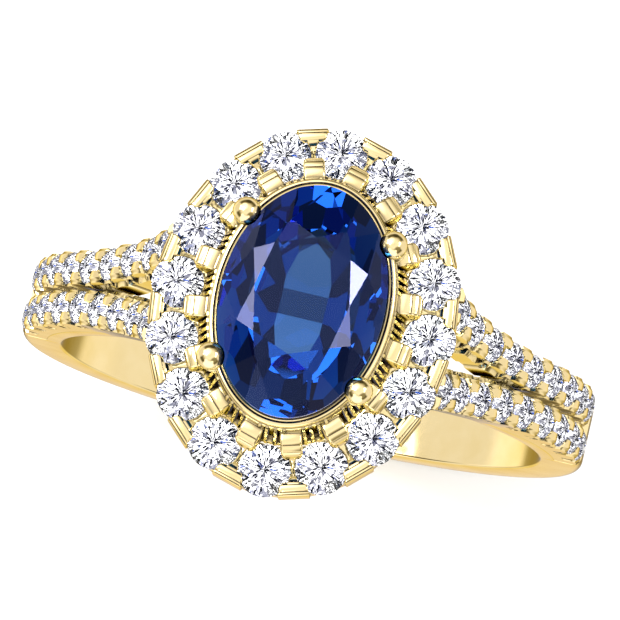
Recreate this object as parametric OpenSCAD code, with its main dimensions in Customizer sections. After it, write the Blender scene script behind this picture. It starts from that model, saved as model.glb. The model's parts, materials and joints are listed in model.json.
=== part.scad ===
// Engagement ring: an oval sapphire held by four claws above a halo of round
// diamonds, on a split shank whose four branches each carry a row of diamonds.
// Millimetres. The origin is the centre of the finger hole, Y runs along the
// finger and Z rises through the middle of the sapphire.

/* [Band] */
// Diameter of the finger hole
bore_d = 17.35; // [16.5:0.05:18.2]
// Width of the plain band along the finger
band_w = 2.6; // [2.5:0.05:2.8]
// Thickness of the plain band at the sides of the hoop
band_t = 1.5; // [1.45:0.05:1.7]
// How much thicker the plain band is at the bottom of the hoop
band_extra = 0.35; // [0:0.05:0.4]
// Thickness of the inner band that runs on under the shoulders
liner_t = 0.55; // [0.45:0.05:0.65]
// Thickness of the bridge under the head
bridge_t = 1.05; // [0.8:0.05:1.2]

/* [Shoulders] */
// Girdle diameter of a shoulder diamond
shoulder_stone_d = 1.1; // [0.9:0.05:1.12]
// Diamonds in each of the four rows
shoulder_count = 9; // [6:1:9]
// Distance between neighbouring diamonds in a row
shoulder_pitch = 1.25; // [1.2:0.01:1.27]
// Height of the row's girdles above the finger hole
shoulder_rise = 1.375; // [1.3:0.025:1.45]
// Distance of a row from the middle of the band, where the rows are parallel
row_offset = 0.69; // [0.68:0.01:0.75]
// How far a row has moved outwards at its topmost diamond
row_spread = 0.565; // [0.4:0.005:0.7]
// Angle from the top at which a shoulder leaves the round of the hoop
arm_turn = 52.5; // [50:0.5:55]
// Length of the straight part of a shoulder
arm_straight = 3.3; // [2.8:0.1:3.6]
// Radius of the upward sweep at the top of a shoulder
arm_sweep_r = 8.5; // [7:0.5:12]
// Width of one branch
branch_w = 1.18; // [1.16:0.01:1.2]

/* [Halo] */
// Half width of the oval that the halo diamonds' centres lie on
halo_a = 3.99; // [3.95:0.01:4.05]
// Half length of that oval
halo_b = 5.07; // [5.0:0.01:5.15]
// Height of the halo diamonds' girdles above the finger hole
halo_rise = 3.4; // [3.3:0.05:3.6]
// Diamonds in the halo
halo_count = 16; // [16]
// Girdle diameter of a halo diamond
halo_stone_d = 1.62; // [1.5:0.01:1.64]
// Thickness of the halo's plate
plate_t = 0.55; // [0.45:0.05:0.6]

/* [Sapphire and its basket] */
// Width of the sapphire
sapphire_w = 5; // [4.8:0.05:5.1]
// Length of the sapphire
sapphire_l = 7.2; // [7:0.05:7.4]
// Height of the sapphire's girdle above the halo diamonds' girdles
sapphire_rise = 1.85; // [1.7:0.05:2]
// Width of the collar's rim beyond the sapphire
collar_rim = 0.28; // [0.2:0.02:0.32]
// Diameter of a claw wire
claw_d = 0.8; // [0.7:0.02:0.86]
// Distance of a claw from the middle of the head, across and along the finger
claw_place = 2.28; // [2.2:0.02:2.36]

/* [Hidden] */
$fn = 64;
bore_r = bore_d / 2;
row_r = bore_r + shoulder_rise;
// radius of the plain band's outer edges
band_edge = 0.35;
liner_r = bore_r + liner_t;
bridge_r = bore_r + bridge_t;
halo_z = bore_r + halo_rise;
sapphire_z = halo_z + sapphire_rise;
// room between a stone and the metal round it
seat_gap = 0.02;
// how far the little grips between stones stand above the girdles
grip_h = 0.15;

// a brilliant's proportions, as parts of its diameter
crown_part = 0.15;
pavilion_part = 0.43;
girdle_part = 0.03;
table_part = 0.58;
star_part = 0.78;
lower_part = 0.25;

// angle from the top where the shoulders end and the plain band starts
join_angle = 82;
// shoulder stations are measured along the row from the turn: + is towards the head
// from this station on the two rows of a shoulder spread apart
spread_start = 0.76;
spread_length = 4 * shoulder_pitch;
spread_power = 1.36;
first_station = spread_start + spread_length;
// stations of the pointed end of the gap between the branches and of its full width
gap_tip = 1;
gap_full = 1.6;
lowest_station = -(join_angle - arm_turn) * PI / 180 * row_r;
highest_station = first_station + 1.2;
arm_step = 0.35;
// thickness of a shoulder where it rests on the liner and where it meets the halo
arm_low_t = 1.35;
arm_top_t = 0.85;

plate_bottom = halo_z - 0.05 - plate_t;
plate_rim = 0.73;
plate_inset = 0.8;
// the halo's outer tabs and the collar's hooks, seen from above
tab_w = 1.15;
tab_depth = 0.42;
tab_h = 0.3;
hook_w = 0.66;
hook_reach = 0.38;
hook_top = 1.2;
collar_top = sapphire_z - 0.14;
collar_h = 0.7;
collar_inset = 0.3;
base_a = 2;
base_b = 2.5;
base_wire = 0.7;
base_z = bridge_r + 0.25;
sapphire_crown = 0.85;
sapphire_pavilion = 2.15;
sapphire_girdle = 0.12;
// steps of the sapphire's pavilion: part of its half axes, part of the pavilion's depth
pavilion_steps = [[0.75, 0.44], [0.43, 0.79], [0.09, 1]];

GOLD = "#E6C77E";
DIAMOND = "#EEF3F8";
SAPPHIRE = "#1F3F9E";

SIDES = ["right", "left"];
ROWS = ["front", "back"];

function halo_name(i) = str("halo_diamond_", i + 1);
function shoulder_name(side, row, i) = str(side, "_", row, "_diamond_", i + 1);

// ---- gemstones ----

// one level of a stone: n corners on an oval of half axes a and b
function level(n, a, b, z, turn) =
    [for (i = [0 : n - 1]) let (t = 360 * (i + turn) / n) [a * cos(t), b * sin(t), z]];

// corners of a brilliant cut: table, crown joints, both girdle edges, pavilion joints, culet.
// The joints' heights make each eight-fold main facet flat.
function brilliant_points(a, b, crown, pavilion, girdle) =
    let (
        joint_crown = crown * (1 - star_part * cos(22.5)) / (1 - table_part),
        joint_pavilion = pavilion * (1 - lower_part * cos(22.5)),
        g = girdle / 2
    )
    concat(
        level(8, table_part * a, table_part * b, g + crown, 0),
        level(8, star_part * a, star_part * b, g + joint_crown, 0.5),
        level(16, a, b, g, 0),
        level(16, a, b, -g, 0),
        level(8, lower_part * a, lower_part * b, -g - joint_pavilion, 0.5),
        [[0, 0, -g - pavilion]]
    );

crown_faces = concat(
    [[for (i = [7 : -1 : 0]) i]],
    [for (i = [0 : 7]) [i, (i + 1) % 8, 8 + i]],
    [for (i = [0 : 7]) [i, 8 + i, 16 + 2 * i]],
    [for (i = [0 : 7]) [i, 16 + 2 * i, 8 + (i + 7) % 8]],
    [for (i = [0 : 7]) [8 + i, 17 + 2 * i, 16 + 2 * i]],
    [for (i = [0 : 7]) [8 + i, 16 + (2 * i + 2) % 16, 17 + 2 * i]],
    [for (j = [0 : 15]) [16 + j, 16 + (j + 1) % 16, 32 + (j + 1) % 16]],
    [for (j = [0 : 15]) [16 + j, 32 + (j + 1) % 16, 32 + j]]
);
brilliant_faces = concat(
    crown_faces,
    [for (i = [0 : 7]) [48 + i, 32 + 2 * i, 33 + 2 * i]],
    [for (i = [0 : 7]) [48 + i, 33 + 2 * i, 32 + (2 * i + 2) % 16]],
    [for (i = [0 : 7]) [48 + i, 56, 32 + 2 * i]],
    [for (i = [0 : 7]) [48 + (i + 7) % 8, 32 + 2 * i, 56]]
);

// corners of a mixed cut: a brilliant's crown and girdle over a stepped pavilion
function mixed_points(a, b, crown, pavilion, girdle) =
    let (brilliant = brilliant_points(a, b, crown, pavilion, girdle))
    concat(
        [for (i = [0 : 47]) brilliant[i]],
        [for (s = pavilion_steps) each level(16, s[0] * a, s[0] * b, -girdle / 2 - s[1] * pavilion, 0)]
    );

mixed_faces = concat(
    crown_faces,
    [for (k = [32 : 16 : 64], j = [0 : 15]) [k + j, k + (j + 1) % 16, k + 16 + (j + 1) % 16, k + 16 + j]],
    [[for (i = [80 : 95]) i]]
);

module round_diamond(d) {
    color(DIAMOND)
        polyhedron(
            brilliant_points(d / 2, d / 2, crown_part * d, pavilion_part * d, girdle_part * d),
            brilliant_faces
        );
}

// the room a round stone needs: its pavilion, its girdle and a way in from above
module round_seat(d, up) {
    r = d / 2 + seat_gap;
    depth = (pavilion_part + girdle_part / 2) * d;
    translate([0, 0, -depth - seat_gap])
        cylinder(h = depth + seat_gap, r1 = 0, r2 = r);
    translate([0, 0, -girdle_part * d])
        cylinder(h = girdle_part * d + up, r = r);
}

// ---- shoulder line, seen from the side ----

function arm_slope(s) =
    s <= 0 ? arm_turn - s / row_r * 180 / PI
    : s <= arm_straight ? arm_turn
    : arm_turn + (s - arm_straight) / arm_sweep_r * 180 / PI;
function outward(s) = [sin(arm_slope(s)), cos(arm_slope(s))];
turn_point = row_r * outward(0);
along_arm = [-cos(arm_turn), sin(arm_turn)];
sweep_centre = turn_point + arm_straight * along_arm + arm_sweep_r * outward(0);
function arm_point(s) =
    s <= 0 ? row_r * outward(s)
    : s <= arm_straight ? turn_point + s * along_arm
    : sweep_centre - arm_sweep_r * outward(s);
function arm_thickness(s) =
    arm_low_t + (arm_top_t - arm_low_t) * max(0, s) / highest_station;

// distance of a row from the middle of the band at a station
function row_y(s) =
    row_offset + row_spread * pow(max(0, (s - spread_start) / spread_length), spread_power);

function station(i) = first_station - i * shoulder_pitch;
arm_stations = [for (s = [lowest_station : arm_step : highest_station]) s];
spread_stations = [for (s = [spread_start : arm_step : highest_station]) s];

module on_row(s, side) {
    p = arm_point(s);
    translate([p[0], side * row_y(s), p[1]])
        rotate([0, arm_slope(s), 0])
            children();
}

module arm_side_outline() {
    outer = [for (s = arm_stations) arm_point(s) + grip_h * outward(s)];
    inner = [for (s = arm_stations) arm_point(s) - arm_thickness(s) * outward(s)];
    polygon(concat(outer, [for (i = [len(inner) - 1 : -1 : 0]) inner[i]]));
}

// the two branches from above, parallel far from the head and spreading towards it
module branch_plan_outline(side) {
    far = row_r + 1;
    outer = [for (s = spread_stations) [arm_point(s)[0], side * (row_y(s) + branch_w / 2)]];
    inner = [for (s = spread_stations) [arm_point(s)[0], side * (row_y(s) - branch_w / 2)]];
    polygon(concat(
        [[far, side * (row_offset + branch_w / 2)]],
        outer,
        [for (i = [len(inner) - 1 : -1 : 0]) inner[i]],
        [[far, side * (row_offset - branch_w / 2)]]
    ));
}

module branch(side) {
    far = row_r + 2;
    difference() {
        intersection() {
            translate([0, far, 0])
                rotate([90, 0, 0])
                    linear_extrude(height = 2 * far)
                        arm_side_outline();
            linear_extrude(height = 2 * far)
                branch_plan_outline(side);
        }
        rotate([90, 0, 0])
            cylinder(h = 2 * far, r = liner_r, center = true);
        translate([-far, -far, plate_bottom])
            cube(2 * far);
        for (i = [0 : shoulder_count - 1])
            on_row(station(i), side)
                stone_cut();
    }
}

// a stone's seat, with a notch across the branch and one along it, so that
// only the four corners between neighbouring stones keep a grip
module stone_cut() {
    open_h = 1;
    notch = 0.56 * shoulder_stone_d;
    round_seat(shoulder_stone_d, open_h);
    translate([-notch / 2, -branch_w, -0.1])
        cube([notch, 2 * branch_w, open_h]);
    translate([-shoulder_pitch / 2 - 0.05, -0.2, -0.1])
        cube([shoulder_pitch + 0.1, 0.4, open_h]);
}

module shoulder() {
    branch(-1);
    branch(1);
}

module shoulder_right() {
    color(GOLD)
        shoulder();
}

module shoulder_left() {
    color(GOLD)
        mirror([1, 0, 0])
            shoulder();
}

module shoulder_diamond(side, row, i) {
    mirror([side == "left" ? 1 : 0, 0, 0])
        on_row(station(i), row == "front" ? -1 : 1)
            round_diamond(shoulder_stone_d);
}

// ---- hoop ----

module band_section() {
    half = band_w / 2;
    outer_r = bore_r + band_t;
    corner = [for (t = [0 : 15 : 90]) band_edge * [1 - sin(t), 1 - cos(t)]];
    polygon(concat(
        [[bore_r - 1, -half]],
        [for (c = corner) [outer_r - c[0], c[1] - half]],
        [for (i = [len(corner) - 1 : -1 : 0]) [outer_r - corner[i][0], half - corner[i][1]]],
        [[bore_r - 1, half]]
    ));
}

// the plain lower part of the hoop, a little thicker at the bottom
module plain_hoop() {
    far = 2 * row_r;
    low = [far * sin(join_angle), far * cos(join_angle)];
    intersection() {
        translate([0, 0, -band_extra])
            rotate([90, 0, 0])
                rotate_extrude($fn = 128)
                    band_section();
        rotate([90, 0, 0])
            translate([0, 0, -far])
                linear_extrude(height = 2 * far)
                    polygon([[0, 0], low, [far, -far], [-far, -far], [-low[0], low[1]]]);
    }
}

// the gap between the branches, from above
module split_outline() {
    shown = [for (s = spread_stations) if (s > gap_full) [arm_point(s)[0], row_y(s) - branch_w / 2]];
    tip = arm_point(gap_tip)[0];
    right = concat([[tip, 0]], shown);
    left = [for (i = [len(right) - 1 : -1 : 0]) [-right[i][0], right[i][1]]];
    half = concat(right, left);
    polygon(concat(half, [for (i = [len(half) - 2 : -1 : 1]) [half[i][0], -half[i][1]]]));
}

module shank() {
    bridge_half = 4.1;
    color(GOLD)
        difference() {
            union() {
                plain_hoop();
                rotate([90, 0, 0])
                    cylinder(h = band_w, r = liner_r, center = true);
                intersection() {
                    rotate([90, 0, 0])
                        cylinder(h = band_w, r = bridge_r, center = true);
                    translate([-bridge_half, -band_w, 0])
                        cube([2 * bridge_half, 2 * band_w, 2 * row_r]);
                }
            }
            rotate([90, 0, 0])
                cylinder(h = 2 * row_r, r = bore_r, center = true, $fn = 128);
            linear_extrude(height = 2 * row_r)
                split_outline();
        }
}

// ---- halo ----

module oval(a, b) {
    polygon([for (i = [0 : 95]) [a * cos(i * 3.75), b * sin(i * 3.75)]]);
}

// parameter angle of the point at part u of the way round the halo's oval,
// corrected so that equal parts are equal lengths
halo_swing = (pow(halo_b, 2) - pow(halo_a, 2)) / (pow(halo_a, 2) + pow(halo_b, 2)) / 4 * 180 / PI;
function halo_angle(u) = 360 * u - halo_swing * sin(720 * u);

// places children on the oval with their X pointing outwards
module on_halo(u, turned = true) {
    t = halo_angle(u);
    translate([halo_a * cos(t), halo_b * sin(t), 0])
        rotate(turned ? atan2(halo_a * sin(t), halo_b * cos(t)) : 0)
            children();
}

module halo_diamond(i) {
    translate([0, 0, halo_z])
        on_halo(i / halo_count, false)
            round_diamond(halo_stone_d);
}

// the room a halo stone takes, crown included, with its open back
module halo_stone_room() {
    r = halo_stone_d / 2 + seat_gap;
    crown = crown_part * halo_stone_d;
    girdle = girdle_part * halo_stone_d;
    round_seat(halo_stone_d, girdle / 2 + seat_gap);
    translate([0, 0, girdle / 2 + seat_gap])
        cylinder(h = crown, r1 = r, r2 = table_part * r + seat_gap);
    translate([0, 0, girdle / 2 + crown])
        cylinder(h = 1, r = table_part * r + seat_gap);
    translate([0, 0, -1.5])
        cylinder(h = 1.5, r = 0.3 * halo_stone_d);
}

module halo_stone_rooms() {
    translate([0, 0, halo_z])
        for (i = [0 : halo_count - 1])
            on_halo(i / halo_count)
                halo_stone_room();
}

module halo_frame() {
    color(GOLD)
        difference() {
            union() {
                translate([0, 0, plate_bottom])
                    linear_extrude(height = plate_t)
                        difference() {
                            oval(halo_a + plate_rim - 0.04, halo_b + plate_rim - 0.04);
                            oval(halo_a - plate_inset, halo_b - plate_inset);
                        }
                for (i = [0 : halo_count - 1])
                    on_halo((i + 0.5) / halo_count)
                        translate([plate_rim - tab_depth, -tab_w / 2, plate_bottom])
                            cube([tab_depth, tab_w, halo_z + tab_h - plate_bottom]);
            }
            halo_stone_rooms();
            // clear of the topmost shoulder diamonds
            for (m = [0, 1], side = [-1, 1])
                mirror([m, 0, 0])
                    on_row(station(0), side)
                        round_seat(shoulder_stone_d, 0.3);
        }
}

// ---- sapphire and the basket that carries it ----

module sapphire() {
    color(SAPPHIRE)
        translate([0, 0, sapphire_z])
            polyhedron(
                mixed_points(
                    sapphire_w / 2, sapphire_l / 2, sapphire_crown, sapphire_pavilion, sapphire_girdle
                ),
                mixed_faces
            );
}

// the room the sapphire takes: a slightly larger stone
module sapphire_room() {
    translate([0, 0, sapphire_z])
        polyhedron(
            mixed_points(
                sapphire_w / 2 + 2 * seat_gap, sapphire_l / 2 + 2 * seat_gap,
                sapphire_crown, sapphire_pavilion, sapphire_girdle + 2 * seat_gap
            ),
            mixed_faces
        );
}

// the rim under the sapphire and the hooks that reach from it over the halo stones
module collar() {
    hook_inner = halo_a - sapphire_w / 2 - collar_rim + 0.1;
    color(GOLD)
        difference() {
            union() {
                translate([0, 0, collar_top - collar_h])
                    linear_extrude(height = collar_h)
                        difference() {
                            oval(sapphire_w / 2 + collar_rim, sapphire_l / 2 + collar_rim);
                            oval(sapphire_w / 2 - collar_inset, sapphire_l / 2 - collar_inset);
                        }
                for (i = [0 : halo_count - 1])
                    on_halo((i + 0.5) / halo_count)
                        hook(hook_inner);
            }
            halo_stone_rooms();
            halo_plate_room();
            sapphire_room();
            claw_wires();
        }
}

// a round-ended block from the collar out over the edges of two halo stones
module hook(inner) {
    r = hook_w / 2;
    low = plate_bottom;
    translate([-inner, -r, low])
        cube([inner - hook_reach - r, hook_w, halo_z + hook_top - low]);
    translate([-hook_reach - r, 0, low])
        cylinder(h = halo_z + hook_top - low, r = r);
}

module halo_plate_room() {
    translate([0, 0, plate_bottom - 1])
        linear_extrude(height = plate_t + 1)
            difference() {
                oval(halo_a + 2, halo_b + 2);
                oval(halo_a - plate_inset, halo_b - plate_inset);
            }
}

// one slanted claw wire, from the base rail to the sapphire's girdle
module claw_wire(x, y) {
    foot = [0.72 * x, 0.72 * y, base_z];
    head = [x, y, sapphire_z + 0.05];
    run = head - foot;
    length = norm(run);
    translate(foot)
        rotate([0, acos(run[2] / length), atan2(run[1], run[0])])
            cylinder(h = length, r = claw_d / 2);
}

module claw_wires() {
    for (x = [-1, 1], y = [-1, 1])
        claw_wire(x * claw_place, y * claw_place);
}

module claws() {
    color(GOLD)
        difference() {
            union() {
                claw_wires();
                for (x = [-1, 1], y = [-1, 1])
                    translate([x * claw_place, y * claw_place, sapphire_z + 0.05])
                        sphere(r = claw_d / 2 - 0.01);
            }
            sapphire_room();
            base_rail_room();
        }
}

module base_rail_room() {
    translate([0, 0, base_z - base_wire])
        linear_extrude(height = 2 * base_wire)
            difference() {
                oval(base_a, base_b);
                oval(base_a - base_wire, base_b - base_wire);
            }
}

// the oval rail under the basket, saddled over the bridge
module base_rail() {
    color(GOLD)
        difference() {
            base_rail_room();
            rotate([90, 0, 0])
                cylinder(h = 4 * base_b, r = bridge_r, center = true);
        }
}

shank();
shoulder_right();
shoulder_left();
halo_frame();
collar();
claws();
base_rail();
sapphire();
for (i = [0 : halo_count - 1])
    halo_diamond(i);
for (side = SIDES, row = ROWS, i = [0 : shoulder_count - 1])
    shoulder_diamond(side, row, i);
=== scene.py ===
"""Looks of the engagement ring: polished yellow gold, round diamonds and an oval sapphire."""

import json
import math

import bmesh
import bpy
from mathutils import Matrix, Vector

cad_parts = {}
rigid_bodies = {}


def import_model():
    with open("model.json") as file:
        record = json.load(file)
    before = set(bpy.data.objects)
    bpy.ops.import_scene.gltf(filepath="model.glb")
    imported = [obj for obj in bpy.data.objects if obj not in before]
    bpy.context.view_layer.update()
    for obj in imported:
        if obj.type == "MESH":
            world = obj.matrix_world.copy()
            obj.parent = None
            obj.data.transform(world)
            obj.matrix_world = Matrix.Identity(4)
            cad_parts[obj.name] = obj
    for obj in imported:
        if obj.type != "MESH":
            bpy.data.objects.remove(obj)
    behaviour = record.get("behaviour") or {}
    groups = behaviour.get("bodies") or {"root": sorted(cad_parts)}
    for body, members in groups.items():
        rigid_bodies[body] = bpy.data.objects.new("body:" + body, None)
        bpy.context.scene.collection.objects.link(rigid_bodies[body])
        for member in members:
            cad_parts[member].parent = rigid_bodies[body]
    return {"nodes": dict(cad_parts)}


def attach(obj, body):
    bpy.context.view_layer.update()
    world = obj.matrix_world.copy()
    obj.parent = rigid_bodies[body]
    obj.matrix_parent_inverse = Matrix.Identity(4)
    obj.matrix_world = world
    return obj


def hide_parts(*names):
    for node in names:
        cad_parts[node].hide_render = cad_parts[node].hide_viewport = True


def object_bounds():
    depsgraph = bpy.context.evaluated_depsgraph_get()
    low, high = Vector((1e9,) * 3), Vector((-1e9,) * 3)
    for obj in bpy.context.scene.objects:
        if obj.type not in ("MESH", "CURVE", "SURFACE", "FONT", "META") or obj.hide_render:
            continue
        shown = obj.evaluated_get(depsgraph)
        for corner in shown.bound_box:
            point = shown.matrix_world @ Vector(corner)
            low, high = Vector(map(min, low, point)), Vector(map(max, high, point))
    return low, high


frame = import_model()
cad_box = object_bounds()

MM = 0.001


def add_object(name, data):
    made = bpy.data.objects.new(name, data)
    bpy.context.collection.objects.link(made)
    return made


# ---- view ----

# degrees; the distance and the centre are in millimetres
VIEW_AZIMUTH = 17.2
VIEW_ELEVATION = 80.0
VIEW_ROLL = -3.7
VIEW_DISTANCE = 89.3
VIEW_CENTRE = (-0.42, 2.06, 0.37)
SENSOR_MM = 36.0
LENS_MM = 146.0


def make_camera():
    data = bpy.data.cameras.new("camera")
    data.sensor_width = SENSOR_MM
    data.lens = LENS_MM
    data.clip_start = 0.001
    data.clip_end = 10.0
    camera = add_object("camera", data)
    azimuth = math.radians(VIEW_AZIMUTH)
    elevation = math.radians(VIEW_ELEVATION)
    back = Vector((
        math.sin(azimuth) * math.cos(elevation),
        -math.cos(azimuth) * math.cos(elevation),
        math.sin(elevation),
    ))
    turn = back.to_track_quat("Z", "Y").to_matrix()
    roll = Matrix.Rotation(math.radians(VIEW_ROLL), 3, "Z")
    place = (Vector(VIEW_CENTRE) + back * VIEW_DISTANCE) * MM
    camera.matrix_world = Matrix.Translation(place) @ (turn @ roll).to_4x4()
    bpy.context.scene.camera = camera


make_camera()

# ---- materials ----


def grey(level):
    return (level, level, level)


def new_material(name):
    material = bpy.data.materials.new(name)
    material.use_nodes = True
    return material, material.node_tree, material.node_tree.nodes["Principled BSDF"]


def add_node(tree, kind, **settings):
    made = tree.nodes.new(kind)
    for key, value in settings.items():
        if key in made.inputs:
            made.inputs[key].default_value = value
        else:
            setattr(made, key, value)
    return made


def ramp(tree, source, stops, interpolation="LINEAR"):
    """A colour ramp over source, from (place, colour) stops.

    CONSTANT holds each colour up to the next stop.
    """
    made = tree.nodes.new("ShaderNodeValToRGB")
    made.color_ramp.interpolation = interpolation
    elements = made.color_ramp.elements
    while len(elements) > 1:
        elements.remove(elements[0])
    elements[0].position, elements[0].color = stops[0][0], (*stops[0][1], 1)
    for place, colour in stops[1:]:
        elements.new(place).color = (*colour, 1)
    tree.links.new(source, made.inputs["Fac"])
    return made.outputs["Color"]


def math_node(tree, operation, a, b=None):
    """A maths node on two inputs, each a socket or a number."""
    made = add_node(tree, "ShaderNodeMath", operation=operation)
    for socket, value in zip(made.inputs, (a, b)):
        if value is None:
            continue
        if isinstance(value, (int, float)):
            socket.default_value = value
        else:
            tree.links.new(value, socket)
    return made.outputs["Value"]


GOLD_TINTS = [(0.35, (0.86, 0.672, 0.262)), (0.65, (0.89, 0.712, 0.302))]
# painted shade: the near-black colour the gold is darkened to in its creases
PAINTED_CREASE_SHADE = (0.03, 0.017, 0.005)
GOLD_ROUGHNESS = 0.10
POLISHING_MARKS = 0.15
MARK_DEPTH = 0.004 * MM


def gold_material(name, reach, alone):
    """Polished yellow gold, with painted shade in its creases, fine polishing marks and uneven
    tints.

    reach is how near a wall must be for the painted crease shade. alone leaves other pieces out of
    it.
    """
    material, tree, shader = new_material(name)
    link = tree.links.new
    place = add_node(tree, "ShaderNodeTexCoord").outputs["Object"]
    crease = add_node(
        tree, "ShaderNodeAmbientOcclusion", Distance=reach, samples=12, only_local=alone
    )
    cloud = add_node(tree, "ShaderNodeTexNoise", Scale=900.0, Detail=3.0)
    link(place, cloud.inputs["Vector"])
    warm = ramp(tree, cloud.outputs["Fac"], GOLD_TINTS)
    # painted shade: the gold darkens towards that near black where ambient occlusion finds a wall
    # near
    depth = ramp(tree, crease.outputs["AO"], [(0.50, grey(1)), (0.86, grey(0))])
    mix = add_node(tree, "ShaderNodeMix", data_type="RGBA")
    link(depth, mix.inputs["Factor"])
    link(warm, mix.inputs[6])
    mix.inputs[7].default_value = (*PAINTED_CREASE_SHADE, 1)
    link(mix.outputs[2], shader.inputs["Base Color"])
    link(mix.outputs[2], shader.inputs["Specular Tint"])
    shader.inputs["Metallic"].default_value = 1.0
    grain = add_node(tree, "ShaderNodeTexNoise", Scale=5200.0, Detail=2.0)
    link(place, grain.inputs["Vector"])
    gloss = add_node(tree, "ShaderNodeMapRange")
    gloss.inputs["To Min"].default_value = GOLD_ROUGHNESS * 0.75
    gloss.inputs["To Max"].default_value = GOLD_ROUGHNESS * 1.3
    link(grain.outputs["Fac"], gloss.inputs["Value"])
    link(gloss.outputs["Result"], shader.inputs["Roughness"])
    bump = add_node(tree, "ShaderNodeBump", Strength=POLISHING_MARKS, Distance=MARK_DEPTH)
    link(grain.outputs["Fac"], bump.inputs["Height"])
    link(bump.outputs["Normal"], shader.inputs["Normal"])
    return material


def glass(name, ior):
    """A clear, polished material: its tree, its shader and its object coordinates."""
    material, tree, shader = new_material(name)
    shader.inputs["Roughness"].default_value = 0.0
    shader.inputs["IOR"].default_value = ior
    shader.inputs["Transmission Weight"].default_value = 1.0
    place = add_node(tree, "ShaderNodeSeparateXYZ")
    tree.links.new(add_node(tree, "ShaderNodeTexCoord").outputs["Object"], place.inputs["Vector"])
    return material, tree, shader, [place.outputs[axis] for axis in "XYZ"]


def glow_over(tree, under, share, colour):
    """Lays a glow of a colour, or of a colour socket, over a shader."""
    glow = add_node(tree, "ShaderNodeEmission")
    if isinstance(colour, tuple):
        glow.inputs["Color"].default_value = (*colour, 1)
    else:
        tree.links.new(colour, glow.inputs["Color"])
    layer = add_node(tree, "ShaderNodeMixShader")
    tree.links.new(share, layer.inputs["Fac"])
    tree.links.new(under, layer.inputs[1])
    tree.links.new(glow.outputs["Emission"], layer.inputs[2])
    return layer.outputs["Shader"]


DIAMOND_IOR = 2.42
SAPPHIRE_IOR = 1.77
# the painted dark reflections, short dark lines on a diamond's crown: how many directions they take,
# their length and the greatest half width, how far aside they may lie in parts of a spoke, and the
# share drawn
SPOKES = 26
LINE_LENGTH = 0.13 * MM
LINE_HALF = 0.03 * MM
LINE_PLAY = 0.6
LINE_SHARE = 0.68
PAINTED_DARK_REFLECTION = (0.012, 0.014, 0.022)
CROWN_FROM = 0.01 * MM
# the painted blue glint, a blue flash painted on the crown: its middle and half size in millimetres,
# across and along
PAINTED_GLINT = ((0.27, 0.085), (0.06, 0.02))
PAINTED_GLINT_COLOUR = (0.03, 0.13, 0.72)


def diamond_material():
    """Clear glass. Short painted dark reflections on its crown stand for facet contrast; a painted
    blue glint.
    """
    material, tree, shader, (x, y, z) = glass("diamond", DIAMOND_IOR)
    link = tree.links.new

    def work(operation, a, b=None):
        return math_node(tree, operation, a, b)

    shader.inputs["Base Color"].default_value = (1, 1, 1, 1)
    reach = work("SQRT", work("ADD", work("MULTIPLY", x, x), work("MULTIPLY", y, y)))
    turn = work("MULTIPLY", work("ARCTAN2", y, x), SPOKES / math.tau)
    spoke = work("ROUND", turn)
    cell = add_node(tree, "ShaderNodeCombineXYZ")
    link(spoke, cell.inputs["X"])
    link(work("FLOOR", work("DIVIDE", reach, LINE_LENGTH)), cell.inputs["Y"])
    chance = add_node(tree, "ShaderNodeTexWhiteNoise", noise_dimensions="3D")
    link(cell.outputs["Vector"], chance.inputs["Vector"])
    odds = add_node(tree, "ShaderNodeSeparateColor")
    link(chance.outputs["Color"], odds.inputs["Color"])
    shift = work("MULTIPLY", work("SUBTRACT", odds.outputs["Green"], 0.5), LINE_PLAY)
    aside = work("ABSOLUTE", work("SUBTRACT", work("SUBTRACT", turn, spoke), shift))
    arc = work("MULTIPLY", work("MULTIPLY", aside, reach), math.tau / SPOKES)
    # painted dark reflection: where a line falls, the crown glows near black
    line = work("LESS_THAN", arc, work("MULTIPLY", odds.outputs["Blue"], LINE_HALF))
    line = work("MULTIPLY", line, work("LESS_THAN", odds.outputs["Red"], LINE_SHARE))
    crown = work("GREATER_THAN", z, CROWN_FROM)
    # painted glint: a small patch of the crown glows blue
    painted_glint_mask = crown
    for along, (middle, half) in zip((x, y), PAINTED_GLINT):
        off = work("ABSOLUTE", work("SUBTRACT", along, middle * MM))
        painted_glint_mask = work("MULTIPLY", painted_glint_mask, work("LESS_THAN", off, half * MM))
    surface = glow_over(tree, shader.outputs["BSDF"], work("MULTIPLY", line, crown), PAINTED_DARK_REFLECTION)
    surface = glow_over(tree, surface, painted_glint_mask, PAINTED_GLINT_COLOUR)
    link(surface, tree.nodes["Material Output"].inputs["Surface"])
    return material


# height in the sapphire is read from 0 at BLUE_LOWEST to 1 at its girdle's middle, and its steps
# lie between the two limits
BLUE_LOWEST = -3.0 * MM
STEPS_FROM, STEPS_TO = 0.46, 0.973
BLUE_CROWN_FROM = -0.08 * MM
# the specular tint, painted reflection strength by a facet's sideways tilt. The middle stop, a
# painted bright reflection, takes in the star facets
PAINTED_FACET_REFLECTION = [
    (0.0, (0.16, 0.20, 0.30)), (0.38, (0.72, 0.76, 1.0)), (0.45, (0.12, 0.15, 0.24)),
]
# base colour from the lowest point up: the clear flat facets, the steps painted dark as painted
# shade, and the clear crown
PASSED = [
    (0.0, (0.36, 0.62, 1.0)), (STEPS_FROM, (0.004, 0.01, 0.05)), (STEPS_TO, (0.46, 0.57, 1.0)),
]
# a lower facet is painted dark, painted shade with a faint blue glow, if the number it draws is
# under the share below, or on the flat facets if it is steep
PAINTED_DARK_SHARE = 0.48
STEEP_FROM = 0.35
PAINTED_DARK_COLOURS = [
    (0.0, (0.003, 0.010, 0.035)), (0.23, (0.006, 0.028, 0.10)), (0.35, (0.010, 0.066, 0.24)),
]
FACET_PICK_SCALE = 6.0


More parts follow.
